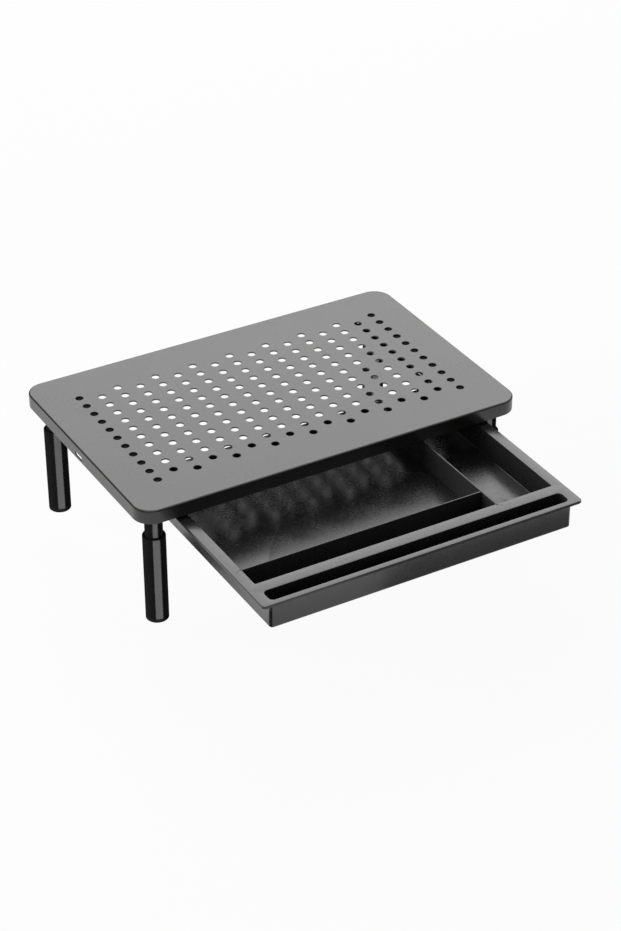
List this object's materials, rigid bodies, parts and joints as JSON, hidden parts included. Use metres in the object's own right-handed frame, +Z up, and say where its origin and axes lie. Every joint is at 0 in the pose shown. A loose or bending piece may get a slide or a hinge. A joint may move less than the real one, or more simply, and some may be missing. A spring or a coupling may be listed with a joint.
{
  "type": "laptop stand with drawer",
  "caption": "Perforated steel platform on height-adjustable round legs, with a flanged organizer drawer that slides out below it.",
  "frame": {"origin": "on the desk surface, at the middle of the footprint that the stand covers with its drawer pulled out", "axes": "+Z up, +Y towards the back, the drawer opens towards -Y, +X to the right of someone facing the drawer"},
  "size_m": [0.37, 0.378, 0.121],
  "materials": {
    "platform_paint": "satin black powder coat with a fine grain",
    "post_paint": "gloss black paint",
    "sleeve_plastic": "gloss black moulding",
    "ring_plastic": "dark grey slippery moulding",
    "foot_rubber": "matt black rubber",
    "drawer_plastic": "fine-grained black moulding",
    "divider_plastic": "fine-grained black sheet",
    "rail_plastic": "black moulding",
    "zinc_steel": "bright zinc plate"
  },
  "bodies": {
    "stand": {"platform": "platform_paint", "leg_studs": "zinc_steel", "leg_plugs": "zinc_steel", "rail_studs": "zinc_steel", "rail_nuts": "zinc_steel", "rail_left": "rail_plastic", "rail_right": "rail_plastic", "leg_post_front_left": "post_paint", "leg_post_front_right": "post_paint", "leg_post_rear_left": "post_paint", "leg_post_rear_right": "post_paint"},
    "drawer": {"drawer_tray": "drawer_plastic", "divider_long": "divider_plastic", "divider_cross": "divider_plastic"},
    "ring_front_left": {"lock_ring_front_left": "ring_plastic"},
    "leg_front_left": {"leg_sleeve_front_left": "sleeve_plastic", "foot_front_left": "foot_rubber"},
    "ring_front_right": {"lock_ring_front_right": "ring_plastic"},
    "leg_front_right": {"leg_sleeve_front_right": "sleeve_plastic", "foot_front_right": "foot_rubber"},
    "ring_rear_left": {"lock_ring_rear_left": "ring_plastic"},
    "leg_rear_left": {"leg_sleeve_rear_left": "sleeve_plastic", "foot_rear_left": "foot_rubber"},
    "ring_rear_right": {"lock_ring_rear_right": "ring_plastic"},
    "leg_rear_right": {"leg_sleeve_rear_right": "sleeve_plastic", "foot_rear_right": "foot_rubber"}
  },
  "joints": [
    {"name": "drawer_slide", "type": "slide", "parent": "stand", "child": "drawer", "axis": [0, -1, 0], "range_m": [-0.143, 0]},
    {"name": "height_front_left", "type": "slide", "parent": "stand", "child": "ring_front_left", "axis": [0, 0, -1], "range_m": [-0.02, 0.02]},
    {"name": "twist_front_left", "type": "hinge", "parent": "ring_front_left", "child": "leg_front_left", "pos_m": [-0.1652, -0.0258, 0.0702], "axis": [0, 0, 1], "range_deg": [0, 60]},
    {"name": "height_front_right", "type": "slide", "parent": "stand", "child": "ring_front_right", "axis": [0, 0, -1], "range_m": [-0.02, 0.02]},
    {"name": "twist_front_right", "type": "hinge", "parent": "ring_front_right", "child": "leg_front_right", "pos_m": [0.1652, -0.0258, 0.0702], "axis": [0, 0, 1], "range_deg": [0, 60]},
    {"name": "height_rear_left", "type": "slide", "parent": "stand", "child": "ring_rear_left", "axis": [0, 0, -1], "range_m": [-0.02, 0.02]},
    {"name": "twist_rear_left", "type": "hinge", "parent": "ring_rear_left", "child": "leg_rear_left", "pos_m": [-0.1652, 0.1688, 0.0702], "axis": [0, 0, 1], "range_deg": [0, 60]},
    {"name": "height_rear_right", "type": "slide", "parent": "stand", "child": "ring_rear_right", "axis": [0, 0, -1], "range_m": [-0.02, 0.02]},
    {"name": "twist_rear_right", "type": "hinge", "parent": "ring_rear_right", "child": "leg_rear_right", "pos_m": [0.1652, 0.1688, 0.0702], "axis": [0, 0, 1], "range_deg": [0, 60]}
  ]
}
